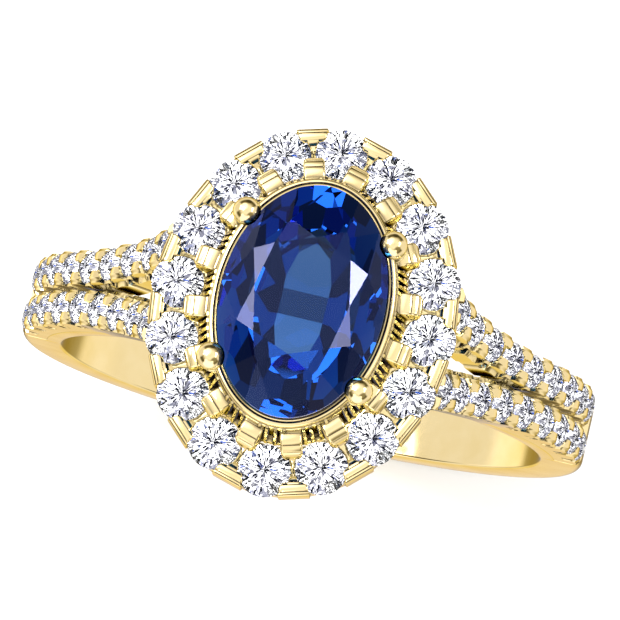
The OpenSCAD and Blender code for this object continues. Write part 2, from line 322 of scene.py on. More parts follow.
def sapphire_material():
    """Blue glass. Star facets get painted bright reflections; steps and some lower facets get
    painted shade.
    """
    material, tree, shader, (_, _, z) = glass("sapphire", SAPPHIRE_IOR)
    link = tree.links.new

    def switch(source, *places):
        """Black, and white and black in turn past each place."""
        stops = [(place, grey((i + 1) % 2)) for i, place in enumerate(places)]
        return ramp(tree, source, [(0.0, grey(0))] + stops, "CONSTANT")

    facet = add_node(tree, "ShaderNodeNewGeometry").outputs["True Normal"]
    tilt = add_node(tree, "ShaderNodeSeparateXYZ")
    link(facet, tilt.inputs["Vector"])
    aside = math_node(tree, "ABSOLUTE", tilt.outputs["X"])
    # painted reflection: how strongly each facet mirrors is set by its tilt, brightest on the star
    # facets
    link(ramp(tree, aside, PAINTED_FACET_REFLECTION, "CONSTANT"), shader.inputs["Specular Tint"])
    depth = add_node(tree, "ShaderNodeMapRange")
    depth.inputs["From Min"].default_value = BLUE_LOWEST
    depth.inputs["From Max"].default_value = 0.0
    link(z, depth.inputs["Value"])
    height = depth.outputs["Result"]
    # painted shade: the steps' base colour is near black
    link(ramp(tree, height, PASSED, "CONSTANT"), shader.inputs["Base Color"])
    pick = add_node(tree, "ShaderNodeTexVoronoi", Scale=FACET_PICK_SCALE)
    link(facet, pick.inputs["Vector"])
    part = add_node(tree, "ShaderNodeSeparateColor")
    link(pick.outputs["Color"], part.inputs["Color"])
    drawn = part.outputs["Green"]
    share = add_node(tree, "ShaderNodeMix", data_type="RGBA")
    link(switch(height, STEPS_FROM, STEPS_TO), share.inputs["Factor"])
    link(switch(aside, STEEP_FROM), share.inputs[6])
    link(ramp(tree, drawn, [(0.0, grey(1)), (PAINTED_DARK_SHARE, grey(0))], "CONSTANT"), share.inputs[7])
    lower = math_node(tree, "LESS_THAN", z, BLUE_CROWN_FROM)
    painted_dark_mask = math_node(tree, "MULTIPLY", share.outputs[2], lower)
    # painted shade: dark blue glows laid on the facets painted dark, not the stone's own colour
    body = ramp(tree, drawn, PAINTED_DARK_COLOURS, "CONSTANT")
    surface = glow_over(tree, shader.outputs["BSDF"], painted_dark_mask, body)
    link(surface, tree.nodes["Material Output"].inputs["Surface"])
    absorb = add_node(tree, "ShaderNodeVolumeAbsorption", Density=500.0)
    absorb.inputs["Color"].default_value = (0.10, 0.60, 0.93, 1)
    link(absorb.outputs["Volume"], tree.nodes["Material Output"].inputs["Volume"])
    return material


# both golds carry painted crease shade; the claws' reaches farther and takes in other pieces
GOLD = gold_material("polished_gold", 0.26 * MM, True)
CLAW_GOLD = gold_material("claw_gold", 0.60 * MM, False)
DIAMOND = diamond_material()
SAPPHIRE = sapphire_material()

# ---- gemstones ----


def plane_through(a, b, c):
    """The plane through three points, with its normal pointing out of the stone."""
    normal = (b - a).cross(c - a).normalized()
    if normal.dot(a) < 0:
        normal.negate()
    return normal, a


def polar(rx, ry, degrees, z):
    t = math.radians(degrees)
    return Vector((rx * math.cos(t), ry * math.sin(t), z))


# parts of a round stone's diameter: heights of crown, underside and girdle
ROUND_CROWN = 0.15
ROUND_PAVILION = 0.43
ROUND_GIRDLE = 0.03
# parts of its radius: the table's corners and the joints above and below the girdle
ROUND_TABLE = 0.58
ROUND_STAR = 0.78
ROUND_LOWER = 0.25


def onto(point, plane):
    """Moves a point straight up or down onto a plane."""
    normal, at = plane
    point.z = at.z - (normal.x * (point.x - at.x) + normal.y * (point.y - at.y)) / normal.z
    return point


def brilliant_planes(diameter):
    """The facets of a round brilliant cut as planes."""
    r = diameter / 2
    top = ROUND_GIRDLE * diameter / 2
    table_z = top + ROUND_CROWN * diameter
    culet = Vector((0, 0, -top - ROUND_PAVILION * diameter))
    table = [polar(ROUND_TABLE * r, ROUND_TABLE * r, 45 * i, table_z) for i in range(8)]
    planes = [(Vector((0, 0, 1)), Vector((0, 0, table_z)))]
    for i in range(8):
        side = polar(r, r, 45 * i + 90, 0)
        rim = polar(r, r, 45 * i, top)
        crown_main = plane_through(table[i], rim, rim + side)
        low_rim = polar(r, r, 45 * i, -top)
        lower_main = plane_through(culet, low_rim, low_rim + side)
        crown_joint = onto(polar(ROUND_STAR * r, ROUND_STAR * r, 45 * (i + 0.5), 0), crown_main)
        lower_joint = onto(polar(ROUND_LOWER * r, ROUND_LOWER * r, 45 * (i + 0.5), 0), lower_main)
        planes += [crown_main, plane_through(table[i], table[(i + 1) % 8], crown_joint), lower_main]
        for joint, z in ((crown_joint, top), (lower_joint, -top)):
            edge = [polar(r, r, 45 * (i + k / 2), z) for k in range(3)]
            for a, b in zip(edge, edge[1:]):
                planes.append(plane_through(joint, a, b))
    return planes


def finished_mesh(name, bm):
    """Turns a bmesh in millimetres into a mesh in metres."""
    bmesh.ops.recalc_face_normals(bm, faces=bm.faces)
    bmesh.ops.scale(bm, vec=(MM, MM, MM), verts=bm.verts)
    mesh = bpy.data.meshes.new(name)
    bm.to_mesh(mesh)
    bm.free()
    return mesh


def cut_stone(name, rx, ry, depth, height, planes, sides):
    """Cuts a stone out of an oval prism, one flat facet at a time. Millimetres in, metres out."""
    bm = bmesh.new()
    rings = []
    for z in (-depth, height):
        ring = [bm.verts.new(polar(rx, ry, 360 * (i + 0.5) / sides, z)) for i in range(sides)]
        rings.append(ring)
    bm.faces.new(list(reversed(rings[0])))
    bm.faces.new(rings[1])
    for i in range(sides):
        j = (i + 1) % sides
        bm.faces.new((rings[0][i], rings[0][j], rings[1][j], rings[1][i]))
    for normal, point in planes:
        everything = bm.verts[:] + bm.edges[:] + bm.faces[:]
        cut = bmesh.ops.bisect_plane(
            bm, geom=everything, dist=1e-6, plane_co=point, plane_no=normal, clear_outer=True
        )
        edges = [e for e in cut["geom_cut"] if isinstance(e, bmesh.types.BMEdge)]
        rim = [e for e in edges if len(e.link_faces) == 1]
        if rim:
            bmesh.ops.edgeloop_fill(bm, edges=rim)
    bmesh.ops.remove_doubles(bm, verts=bm.verts, dist=1e-5)
    return finished_mesh(name, bm)


def stone_frame(node):
    """Where a CAD stone sits: its table's middle and direction. The table is its largest facet."""
    mesh = frame["nodes"][node].data
    faces = list(mesh.polygons)
    facets = [[f for f in faces if f.normal.dot(face.normal) > 0.9999] for face in faces]
    table = max(facets, key=lambda facet: sum(face.area for face in facet))
    up = sum((face.normal * face.area for face in table), Vector()).normalized()
    used = {i for face in table for i in face.vertices}
    places = [mesh.vertices[i].co for i in used]
    corners = sorted({tuple(round(c, 7) for c in place) for place in places})
    centre = sum((Vector(corner) for corner in corners), Vector()) / len(corners)
    return centre, up


def place_stone(node, mesh, drop):
    """Puts a cut stone in its CAD node's place. drop is from its table to its girdle's middle."""
    centre, up = stone_frame(node)
    stone = add_object("cut_" + node, mesh)
    across = Vector((0, 1, 0)).cross(up).normalized()
    along = up.cross(across)
    turn = Matrix((across, along, up)).transposed().to_4x4()
    stone.matrix_world = Matrix.Translation(centre - up * drop * MM) @ turn
    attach(stone, "root")
    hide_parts(node)


def round_stone(name, diameter):
    r = diameter / 2
    mesh = cut_stone(name, r, r, diameter, diameter, brilliant_planes(diameter), sides=64)
    mesh.materials.append(DIAMOND)
    return mesh


HALO_STONE_D = 1.62
SHOULDER_STONE_D = 1.1
HALO_NODES = [f"halo_diamond_{i + 1}" for i in range(16)]
SHOULDER_NODES = [
    f"{side}_{row}_diamond_{i + 1}"
    for side in ("right", "left") for row in ("front", "back") for i in range(9)
]


def make_diamonds():
    table_drop = ROUND_CROWN + ROUND_GIRDLE / 2
    halo_mesh = round_stone("halo_stone", HALO_STONE_D)
    for node in HALO_NODES:
        place_stone(node, halo_mesh, table_drop * HALO_STONE_D)
    shoulder_mesh = round_stone("shoulder_stone", SHOULDER_STONE_D)
    for node in SHOULDER_NODES:
        place_stone(node, shoulder_mesh, table_drop * SHOULDER_STONE_D)


SAPPHIRE_W = 5.0
SAPPHIRE_L = 7.2
SAPPHIRE_A = SAPPHIRE_W / 2
SAPPHIRE_B = SAPPHIRE_L / 2
SAPPHIRE_CROWN = 0.85
SAPPHIRE_PAVILION = 2.15
SAPPHIRE_GIRDLE = 0.12
# table corners and star tips in the first quarter of the stone
TABLE_CORNERS = [(1.45, 0.0), (1.165, 1.37), (0.0, 1.81)]
STAR_TIPS = [(1.75, 1.11), (0.85, 2.22)]
# the stepped underside: (half width, half length, depth) from the girdle inwards
STEPS = [(2.5, 3.6, 0.0), (1.84, 2.78, 0.95), (1.25, 1.75, 1.62)]
# the flat at the bottom, and the (direction, tilt) of the facets round it
KEEL = (0.70, 0.40)
KEEL_FACETS = [
    (0, 44), (25, 38), (90, 22), (155, 38), (180, 44), (205, 38), (270, 22), (335, 38),
]


def quarters(points, z):
    """Repeats the first quarter's points round all four quarters of the oval."""
    first = [Vector((x, y, z)) for x, y in points]
    on_axes = len(points) == 3
    second = [Vector((-p.x, p.y, z)) for p in reversed(first[:-1] if on_axes else first)]
    half = first + second
    rest = [Vector((-p.x, -p.y, z)) for p in (half[1:-1] if on_axes else half)]
    return half + rest


def mixed_cut_planes():
    """An oval with a brilliant crown over a step-cut underside."""
    top = SAPPHIRE_GIRDLE / 2
    table_z = top + SAPPHIRE_CROWN
    planes = [(Vector((0, 0, 1)), Vector((0, 0, table_z)))]
    corners = quarters(TABLE_CORNERS, table_z)
    rim = [polar(SAPPHIRE_A, SAPPHIRE_B, 22.5 * i, top) for i in range(16)]
    mains = []
    for i, corner in enumerate(corners):
        low = rim[2 * i]
        along = polar(SAPPHIRE_A, SAPPHIRE_B, 45 * i + 90, 0)
        mains.append(plane_through(corner, low, low + along))
    planes += mains
    tips = quarters(STAR_TIPS, 0)
    for i, tip in enumerate(tips):
        tip.z = min(onto(tip, main).z for main in (mains[i], mains[(i + 1) % 8]))
        planes.append(plane_through(corners[i], corners[(i + 1) % 8], tip))
        planes.append(plane_through(tip, rim[2 * i], rim[2 * i + 1]))
        planes.append(plane_through(tip, rim[2 * i + 1], rim[(2 * i + 2) % 16]))
    for (outer, inner), shift in zip(zip(STEPS, STEPS[1:]), (0.0, 0.5)):
        for i in range(16):
            t = 22.5 * (i + shift)
            high = polar(outer[0], outer[1], t, -top - outer[2])
            deep = polar(inner[0], inner[1], t, -top - inner[2])
            along = polar(outer[0], outer[1], t + 90, 0)
            planes.append(plane_through(high, deep, high + along))
    bottom = -top - SAPPHIRE_PAVILION
    planes.append((Vector((0, 0, -1)), Vector((0, 0, bottom))))
    for azimuth, tilt in KEEL_FACETS:
        facing = polar(1, 1, azimuth, 0)
        x, y = (math.copysign(half, way) for half, way in zip(KEEL, facing))
        tilt = math.radians(tilt)
        down = Vector((0, 0, math.cos(tilt)))
        planes.append((facing * math.sin(tilt) - down, Vector((x, y, bottom))))
    return planes


def make_sapphire():
    mesh = cut_stone("sapphire_cut", SAPPHIRE_A, SAPPHIRE_B, 4, 3, mixed_cut_planes(), sides=128)
    mesh.materials.append(SAPPHIRE)
    place_stone("sapphire", mesh, SAPPHIRE_CROWN + SAPPHIRE_GIRDLE / 2)


make_diamonds()
make_sapphire()

# ---- metal: shared shapes ----


def shell(bm, rings, closed=False):
    """Joins loops of points (millimetres) into one closed shell."""
    made = [[bm.verts.new(p) for p in ring] for ring in rings]
    pairs = list(zip(made, made[1:]))
    if closed:
        pairs.append((made[-1], made[0]))
    for a, b in pairs:
        for i in range(len(a)):
            j = (i + 1) % len(a)
            bm.faces.new((a[i], a[j], b[j], b[i]))
    if not closed:
        bm.faces.new(list(reversed(made[0])))
        bm.faces.new(made[-1])


def shade(mesh, sharp):
    """Smooth shading that breaks at edges sharper than an angle in degrees."""
    mesh.shade_smooth()
    mesh.set_sharp_from_angle(angle=math.radians(sharp))


def metal_piece(name, bm, replaced, sharp=32.0, gold=GOLD):
    """Turns a bmesh in millimetres into a gold piece that stands for its CAD node."""
    mesh = finished_mesh(name, bm)
    mesh.materials.append(gold)
    shade(mesh, sharp)
    piece = add_object(name, mesh)
    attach(piece, "root")
    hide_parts(replaced)
    return piece


def block_loop(half, low, high, edge, steps=4):
    """A section (y, z) with rounded upper edges, as a loop that runs once round."""
    edge = min(edge, half * 0.98, (high - low) * 0.9)
    loop = [(-half, low), (half, low)]
    for centre, start in ((half - edge, 0), (edge - half, 90)):
        for k in range(steps + 1):
            t = math.radians(start + 90 * k / steps)
            loop.append((centre + edge * math.cos(t), high - edge + edge * math.sin(t)))
    return loop


def between(stops, x):
    """Straight-line reading of a profile given as (x, value) stops."""
    if x <= stops[0][0]:
        return stops[0][1]
    for (x0, v0), (x1, v1) in zip(stops, stops[1:]):
        if x <= x1:
            return v0 + (v1 - v0) * (x - x0) / (x1 - x0)
    return stops[-1][1]


def oval_point(a, b, offset, degrees, z):
    """A point at an offset outwards from an oval, and its height."""
    t = math.radians(degrees)
    nx, ny = math.cos(t) * b, math.sin(t) * a
    size = math.hypot(nx, ny)
    return (a * math.cos(t) + offset * nx / size, b * math.sin(t) + offset * ny / size, z)


def oval_band(bm, a, b, section, steps=192):
    """A closed section of (offset, z) points carried round an oval."""
    rings = [[oval_point(a, b, o, 360 * i / steps, z) for o, z in section] for i in range(steps)]
    shell(bm, rings, closed=True)


# ---- halo ----

BORE_R = 8.675
# the oval through the halo stones' middles
HALO_A = 3.99
HALO_B = 5.07
HALO_Z = BORE_R + 3.4
HALO_COUNT = 16
STONE_R = HALO_STONE_D / 2
PLATE_LOW = HALO_Z - 0.6
PLATE_TOP = HALO_Z - 0.05
# the plate's edges, outwards of that oval
PLATE_OUT = 0.69
PLATE_IN = -0.8
# radii of a seat's hole and cup, and how far the hole's and the cup's tops lie down
SEAT_HOLE_R = 0.5
SEAT_CUP_R = 0.84
SEAT_HOLE_DROP = 0.37
SEAT_CUP_DROP = 0.02
SEAT_WALL = 0.004
# how far the stones' places swing from even angles, in degrees, to stand evenly on the oval
HALO_SWING = math.degrees((HALO_B ** 2 - HALO_A ** 2) / (HALO_A ** 2 + HALO_B ** 2) / 4)


def halo_angle(u):
    return 360 * u - HALO_SWING * math.sin(math.radians(720 * u))


def on_halo(u):
    """The place on the halo's oval at part u of the way round, with X pointing outwards."""
    t = math.radians(halo_angle(u))
    turn = math.atan2(HALO_A * math.sin(t), HALO_B * math.cos(t))
    centre = Vector((HALO_A * math.cos(t), HALO_B * math.sin(t), HALO_Z))
    return Matrix.Translation(centre) @ Matrix.Rotation(turn, 4, "Z")


def halo_block(u, sections):
    """Rings of a block that runs outwards at part u, from (x, half width, low, top, edge)."""
    matrix = on_halo(u)
    return [
        [matrix @ Vector((x, y, z)) for y, z in block_loop(half, low, top, edge)]
        for x, half, low, top, edge in sections
    ]


def gap_half(x, clear=0.012):
    """Half the room between two neighbouring halo stones, at x outwards of the mid point."""
    pitch_half, sag = 0.893, 0.09
    inside = (STONE_R + clear) ** 2 - (x + sag) ** 2
    return pitch_half - math.sqrt(inside) if inside > 0 else pitch_half


HALO_CENTRES = [on_halo(i / HALO_COUNT).translation for i in range(HALO_COUNT // 4 + 1)]
# an outer tab: its half width, which narrows past TAB_END, its edges' rounding before and past
# STEM_END, and its top as (x, z)
TAB_HALF = 0.50
STEM_END = 0.3
STEM_EDGE = 0.02
TAB_EDGE = 0.045
TAB_END = 0.66
TAB_NARROWING = 0.35
TAB_TOP = [
    (-0.50, -0.30), (-0.10, -0.28), (0.06, -0.10), (0.14, 0.10), (0.20, 0.19), (0.28, 0.235),
    (0.40, 0.26), (0.50, 0.262), (0.56, 0.255), (0.575, 0.225), (0.59, 0.225), (0.60, 0.255),
    (0.645, 0.25), (0.655, 0.215), (0.668, 0.215), (0.68, 0.235), (0.705, 0.20), (0.722, 0.15),
    (0.73, 0.06),
]
# the lip of a tab, which lies over the edges of its two stones: (x, half width, top)
LIP_LOW = 0.155
LIP_EDGE = 0.05
LIP = [
    (0.29, 0.24, 0.185), (0.31, 0.32, 0.22), (0.35, 0.375, 0.25), (0.41, 0.42, 0.268),
    (0.52, 0.45, 0.268), (0.575, 0.46, 0.24), (0.59, 0.46, 0.20),
]


def lip_rings(u):
    """The lip of the tab at part u."""
    return halo_block(u, [(x, half, LIP_LOW, top, LIP_EDGE) for x, half, top in LIP])


def tab_rings(u):
    """An outer tab: a narrow stem between two stones that widens into a ridged, bevelled edge."""
    sections = []
    for x, top in TAB_TOP:
        half = min(gap_half(x), TAB_HALF)
        if x > TAB_END:
            half = TAB_HALF - (x - TAB_END) * TAB_NARROWING
        edge = TAB_EDGE if x > STEM_END else STEM_EDGE
        sections.append((x, half, PLATE_LOW - HALO_Z, top, edge))
    return halo_block(u, sections)


def seat_cell(bm, i, around=48):
    """One stone's part of the plate: an open cup in a piece of the oval ring."""
    centre = on_halo(i / HALO_COUNT).translation
    base = Vector((centre.x, centre.y, 0))
    side = around // 4
    parts = [k / side for k in range(side)]
    rim = [(i + 0.5 * (-1 + 2 * k), PLATE_OUT) for k in parts]
    rim += [(i + 0.5, PLATE_OUT + (PLATE_IN - PLATE_OUT) * k) for k in parts]
    rim += [(i + 0.5 * (1 - 2 * k), PLATE_IN) for k in parts]
    rim += [(i - 0.5, PLATE_IN + (PLATE_OUT - PLATE_IN) * k) for k in parts]
    edge = [
        Vector(oval_point(HALO_A, HALO_B, offset, halo_angle(part / HALO_COUNT), 0))
        for part, offset in rim
    ]
    levels = []
    for radius, z in (
        (None, PLATE_LOW),
        (SEAT_HOLE_R, PLATE_LOW),
        (SEAT_HOLE_R, HALO_Z - SEAT_HOLE_DROP),
        (SEAT_CUP_R, PLATE_TOP - SEAT_CUP_DROP),
        (None, PLATE_TOP),
    ):
        ring = []
        for p in edge:
            way = p - base
            if radius is not None:
                p = base + way.normalized() * min(radius, way.length - SEAT_WALL)
            ring.append(bm.verts.new((p.x, p.y, z)))
        levels.append(ring)
    for low, high in zip(levels, levels[1:]):
        for k in range(around):
            j = (k + 1) % around
            bm.faces.new((low[k], low[j], high[j], high[k]))
    # the plate's outer and inner walls, which neighbouring cells don't cover
    for k in range(around):
        j = (k + 1) % around
        if k < side or 2 * side <= k < 3 * side:
            bm.faces.new((levels[-1][k], levels[-1][j], levels[0][j], levels[0][k]))


def make_halo_frame():
    bm = bmesh.new()
    for i in range(HALO_COUNT):
        seat_cell(bm, i)
    bmesh.ops.remove_doubles(bm, verts=bm.verts, dist=1e-4)
    for i in range(HALO_COUNT):
        shell(bm, tab_rings((i + 0.5) / HALO_COUNT))
        shell(bm, lip_rings((i + 0.5) / HALO_COUNT))
    metal_piece("halo_setting", bm, "halo_frame")


# ---- collar, hooks and claws ----

SAPPHIRE_Z = HALO_Z + 1.85
# sections as (outwards of the sapphire's edge, z over its girdle)
RIM_SECTION = [
    (-0.27, -0.84), (0.22, -0.84), (0.26, -0.80), (0.26, -0.26), (0.255, -0.21), (0.235, -0.175),
    (0.20, -0.155), (0.155, -0.15), (0.125, -0.165), (0.115, -0.20), (0.10, -0.205), (0.085, -0.17),
    (0.06, -0.145), (0.035, -0.15), (0.015, -0.18), (-0.03, -0.25), (-0.27, -0.56),
]
SKIRT_SECTION = [
    (0.05, -0.90), (0.05, -0.42), (0.28, -0.40), (0.31, -0.42), (0.325, -0.46), (0.34, -0.74),
    (0.36, -1.05), (0.42, -1.36), (0.50, -1.44), (0.60, -1.47), (0.625, -1.52), (0.63, -1.82),
    (0.40, -1.86),
]
FIN_SECTION = [
    (0.20, -0.38), (0.33, -0.40), (0.37, -0.50), (0.45, -0.76), (0.53, -1.08), (0.645, -1.46),
    (0.655, -1.80), (0.30, -1.84),
]
# the fins' places along the skirt from a stone's middle, and half the width of one
FINS = (-0.32, -0.13, 0.09, 0.31)
FIN_HALF = 0.045
SKIRT_MEAN_R = 3.2
RADIAN_DEGREES = 57.3
# a hook: half width, tip, how long its rounded nose is, and its top as (x, z)
HOOK_HALF = 0.33
HOOK_TIP = -0.375
HOOK_NOSE = 0.2
HOOK_EDGE = 0.07
HOOK_TOP = [
    (-1.30, 1.18), (-1.20, 1.42), (-1.17, 1.42), (-1.165, 1.34), (-1.13, 1.34), (-1.125, 1.27),
    (-1.09, 1.265), (-1.085, 1.205), (-1.02, 1.215), (-0.90, 1.225), (-0.79, 1.205),
    (-0.745, 1.185), (-0.735, 1.155), (-0.715, 1.155), (-0.705, 1.185), (-0.62, 1.17),
    (-0.54, 1.13), (-0.525, 1.105), (-0.51, 1.105), (-0.50, 1.115), (-0.47, 1.085),
    (-0.455, 1.055), (-0.44, 1.055), (-0.43, 1.05), (-0.40, 0.98), (-0.382, 0.88),
    (HOOK_TIP, 0.70),
]
# where a hook's underside clears the stones it reaches over
HOOK_LOW = [
    (-1.30, -0.35), (-0.83, -0.35), (-0.80, 0.10), (-0.70, 0.20), (-0.50, 0.285), (-0.37, 0.285),
]


def hook_rings(u):
    """An inner hook: steps down from the collar, a creased pad, and a rounded, grooved tip."""
    sections = []
    for x, top in HOOK_TOP:
        past = max(0.0, x - (HOOK_TIP - HOOK_NOSE))
        half = HOOK_HALF - HOOK_NOSE + math.sqrt(max(0.0, HOOK_NOSE ** 2 - past ** 2))
        sections.append((x, half, between(HOOK_LOW, x), top, HOOK_EDGE))
    return halo_block(u, sections)


def fin_rings(u, shift):
    """A thin upright fin on the skirt, between two hooks."""
    t = math.radians(halo_angle(u))
    local_r = math.hypot(SAPPHIRE_A * math.sin(t), SAPPHIRE_B * math.cos(t))
    middle = halo_angle(u) + RADIAN_DEGREES * shift / local_r
    rings = []
    for side in (-1, 1):
        degrees = middle + side * RADIAN_DEGREES * FIN_HALF / SKIRT_MEAN_R
        rings.append([
            oval_point(SAPPHIRE_A, SAPPHIRE_B, o, degrees, SAPPHIRE_Z + z) for o, z in FIN_SECTION
        ])
    return rings


def make_collar():
    bm = bmesh.new()
    for section in (RIM_SECTION, SKIRT_SECTION):
        oval_band(bm, SAPPHIRE_A, SAPPHIRE_B, [(o, SAPPHIRE_Z + z) for o, z in section])
    for i in range(HALO_COUNT):
        shell(bm, hook_rings((i + 0.5) / HALO_COUNT))
        for shift in FINS:
            shell(bm, fin_rings(i / HALO_COUNT, shift))
    metal_piece("collar_and_hooks", bm, "collar")


BRIDGE_R = BORE_R + 1.05
# a claw's ball: its place to the side and along, and its height over the sapphire's girdle
CLAW_PLACE = 2.28
CLAW_LIFT = 0.05
CLAW_FOOT_PART = 0.72
CLAW_FOOT_R = 0.30
BASE_Z = BRIDGE_R + 0.25
# radius of a claw against the distance from its ball's centre, along its wire
CLAW_PROFILE = [
    (-1.2, 0.36), (-0.66, 0.40), (-0.56, 0.41), (-0.48, 0.455), (-0.42, 0.475), (-0.36, 0.47),
    (-0.31, 0.42), (-0.285, 0.35), (-0.265, 0.35), (-0.23, 0.375), (-0.17, 0.402), (-0.09, 0.425),
    (0.0, 0.434), (0.09, 0.425), (0.17, 0.40), (0.24, 0.362), (0.30, 0.314), (0.35, 0.257),
    (0.385, 0.198), (0.412, 0.132), (0.427, 0.066),
]


def circle(count):
    """Unit circle points, as (cosine, sine)."""
    turns = [math.tau * k / count for k in range(count)]
    return [(math.cos(t), math.sin(t)) for t in turns]


def make_claws():
    bm = bmesh.new()
    for sx in (-1, 1):
        for sy in (-1, 1):
            ball = Vector((sx * CLAW_PLACE, sy * CLAW_PLACE, SAPPHIRE_Z + CLAW_LIFT))
            foot = Vector((CLAW_FOOT_PART * ball.x, CLAW_FOOT_PART * ball.y, BASE_Z))
            wire = ball - foot
            turn = wire.normalized().to_track_quat("Z", "Y").to_matrix()
            shell(bm, [
                [ball + turn @ Vector((radius * c, radius * s, along)) for c, s in circle(40)]
                for along, radius in [(-wire.length, CLAW_FOOT_R)] + CLAW_PROFILE
            ])
    metal_piece("claw_wires", bm, "claws", sharp=50.0, gold=CLAW_GOLD)


# the base rail's oval, the middle of its wire and half the wire's width and height
RAIL_A, RAIL_B = 2.0, 2.5
RAIL_OFFSET, RAIL_LIFT = -0.35, 0.25
RAIL_HALF_W, RAIL_HALF_H = 0.34, 0.45


def make_base_rail():
    bm = bmesh.new()
    section = [
        (RAIL_OFFSET + RAIL_HALF_W * c, BASE_Z + RAIL_LIFT + RAIL_HALF_H * s) for c, s in circle(16)
    ]
    oval_band(bm, RAIL_A, RAIL_B, section, steps=96)
    metal_piece("base_oval", bm, "base_rail", sharp=60.0)


# ---- shoulders ----

ROW_R = BORE_R + 1.375
LINER_R = BORE_R + 0.55
ARM_TURN = math.radians(52.5)
ARM_STRAIGHT = 3.3
SWEEP_R = 8.5
PITCH = 1.25
# from where on the rows part, their half distance there, how far they part by, and how fast
SPREAD_START = 0.76
ROW_OFFSET = 0.69
ROW_SPREAD = 0.565
SPREAD_POWER = 1.36
FIRST_STATION = SPREAD_START + 4 * PITCH
STATIONS = [FIRST_STATION - i * PITCH for i in range(9)]
# where the shoulders end on the band, from straight up
JOIN_DEGREES = 82.0
JOIN_ANGLE = math.radians(JOIN_DEGREES)
LOWEST_STATION = -(JOIN_ANGLE - ARM_TURN) * ROW_R
HIGHEST_STATION = FIRST_STATION + 0.92
BRANCH_HALF = 0.59
ARM_T = 1.35
ARM_THINNING = 0.5
ARM_LENGTH = FIRST_STATION + 1.2
SMALL_R = SHOULDER_STONE_D / 2
# a branch's upper side, as heights over the stones' girdles. Grips stand midway between stones,
# off the branch's middle line, and reach a little over the stones' edges
DECK_Z = -0.16
GRIP_HALF = 0.335
GRIP_FROM_Y = 0.15
GRIP_REACH = 0.09
GRIP_STAND = 0.14
GRIP_GROWTH = 0.13
GROWTH_LENGTH = 1.6
DOME = 0.06
DOME_HALF = 0.30
SHOULDER_FALL = 0.10
FALL_FROM_Y = 0.42
CUP_RIM = 0.05
CUP_CLEAR = 0.03
CUP_SLOPE = 0.86
LEAST_T = 0.12
# a branch's sides, as depths below DEPTH_ZERO: slots beside each stone's middle, a notch at it,
# and on the inner side a wall and boxes that stand into the gap
DEPTH_ZERO = 0.2
SLOT_CUT = 0.20
SLOT_AT = 0.15
SLOT_HALF = 0.075
SLOT_TOP = 0.30
SLOT_END = 0.66
NOTCH_CUT = 0.08
NOTCH_HALF = 0.28
NOTCH_END = 0.36
FILL_WALL = 0.07
FILL_BOX = 0.09
FILL_TOP = 0.44
BOX_FROM = 0.20
WALL_STEPS = 18
# the room kept free under each halo stone's point
POINT_ROOM_R = 0.35
POINT_ROOM_Z = HALO_Z - 0.80

# s is the distance along the stones' row from where the arm leaves the round of the hoop,
# below 0 on the round and above 0 towards the head


def arm_slope(s):
    """The angle from straight up to the arm's outward direction."""
    if s <= 0:
        return ARM_TURN - s / ROW_R
    return ARM_TURN + max(0.0, s - ARM_STRAIGHT) / SWEEP_R


def outward(s):
    return Vector((math.sin(arm_slope(s)), 0, math.cos(arm_slope(s))))


TURN_POINT = ROW_R * outward(0)
ALONG_ARM = Vector((-math.cos(ARM_TURN), 0, math.sin(ARM_TURN)))
SWEEP_CENTRE = TURN_POINT + ARM_STRAIGHT * ALONG_ARM + SWEEP_R * outward(0)


def arm_point(s):
    """A point on the line of the girdles, in the plane y = 0."""
    if s <= 0:
        return ROW_R * outward(s)
    if s <= ARM_STRAIGHT:
        return TURN_POINT + s * ALONG_ARM
    return SWEEP_CENTRE - SWEEP_R * outward(s)


def row_y(s):
    """Half the distance between the two rows' middles."""
    return ROW_OFFSET + ROW_SPREAD * (max(0.0, s - SPREAD_START) / (4 * PITCH)) ** SPREAD_POWER


def arm_thickness(s):
    return ARM_T - ARM_THINNING * max(0.0, s) / ARM_LENGTH


def smooth(x):
    """A soft step from 0 to 1. In smooth(a / b), b is how wide the step is."""
    x = min(1.0, max(0.0, x))
    return x * x * (3 - 2 * x)


def nearest_station(s):
    return min(STATIONS, key=lambda place: abs(place - s))


def branch_top(s, y):
    """Height of a branch's upper side over its stones' girdles: grips, cuts and cups."""
    ds = s - nearest_station(s)
    past_end = abs(ds) > PITCH / 2 + 0.3
    mid = 0.0 if past_end else abs(abs(ds) - PITCH / 2)
    aside = abs(y)
    grip = smooth((GRIP_HALF - mid) / 0.03) * smooth((aside - GRIP_FROM_Y) / 0.05)
    dome = DOME * (1 - (mid / DOME_HALF) ** 2) - SHOULDER_FALL * smooth((aside - FALL_FROM_Y) / 0.17)
    stand = GRIP_STAND + GRIP_GROWTH * smooth((s - LOWEST_STATION) / GROWTH_LENGTH)
    height = DECK_Z + grip * (stand + dome)
    reach = math.hypot(ds, y)
    if reach < SMALL_R + CUP_CLEAR and (reach < SMALL_R - GRIP_REACH or grip < 0.5):
        height = min(height, -CUP_RIM - (SMALL_R - reach) * CUP_SLOPE - CUP_CLEAR)
    return max(height, LEAST_T - arm_thickness(s))


def branch_wall(s, depth, inner):
    """How far a branch's side is cut in. Below 0, it stands out into the gap."""
    ds = abs(s - nearest_station(s))
    slot = smooth((SLOT_HALF - abs(ds - SLOT_AT)) / 0.03)
    upright = smooth((SLOT_END - depth) / 0.06) * smooth((depth - SLOT_TOP) / 0.04)
    notch = smooth((NOTCH_HALF - ds) / 0.04) * smooth((NOTCH_END - depth) / 0.05)
    cut = SLOT_CUT * slot * upright + NOTCH_CUT * notch
    if inner:
        wall = smooth((depth - FILL_TOP) / 0.04)
        box = wall * smooth((ds - BOX_FROM) / 0.04)
        cut -= (FILL_WALL * wall + FILL_BOX * box) * smooth(s / 2.0)
    return cut


def roof(x, y):
    """What a branch stays below: the halo plate's underside, or lower under a stone's point."""
    near = min(math.hypot(x - c.x, abs(y) - c.y) for c in HALO_CENTRES)
    return PLATE_LOW if near > POINT_ROOM_R else POINT_ROOM_Z


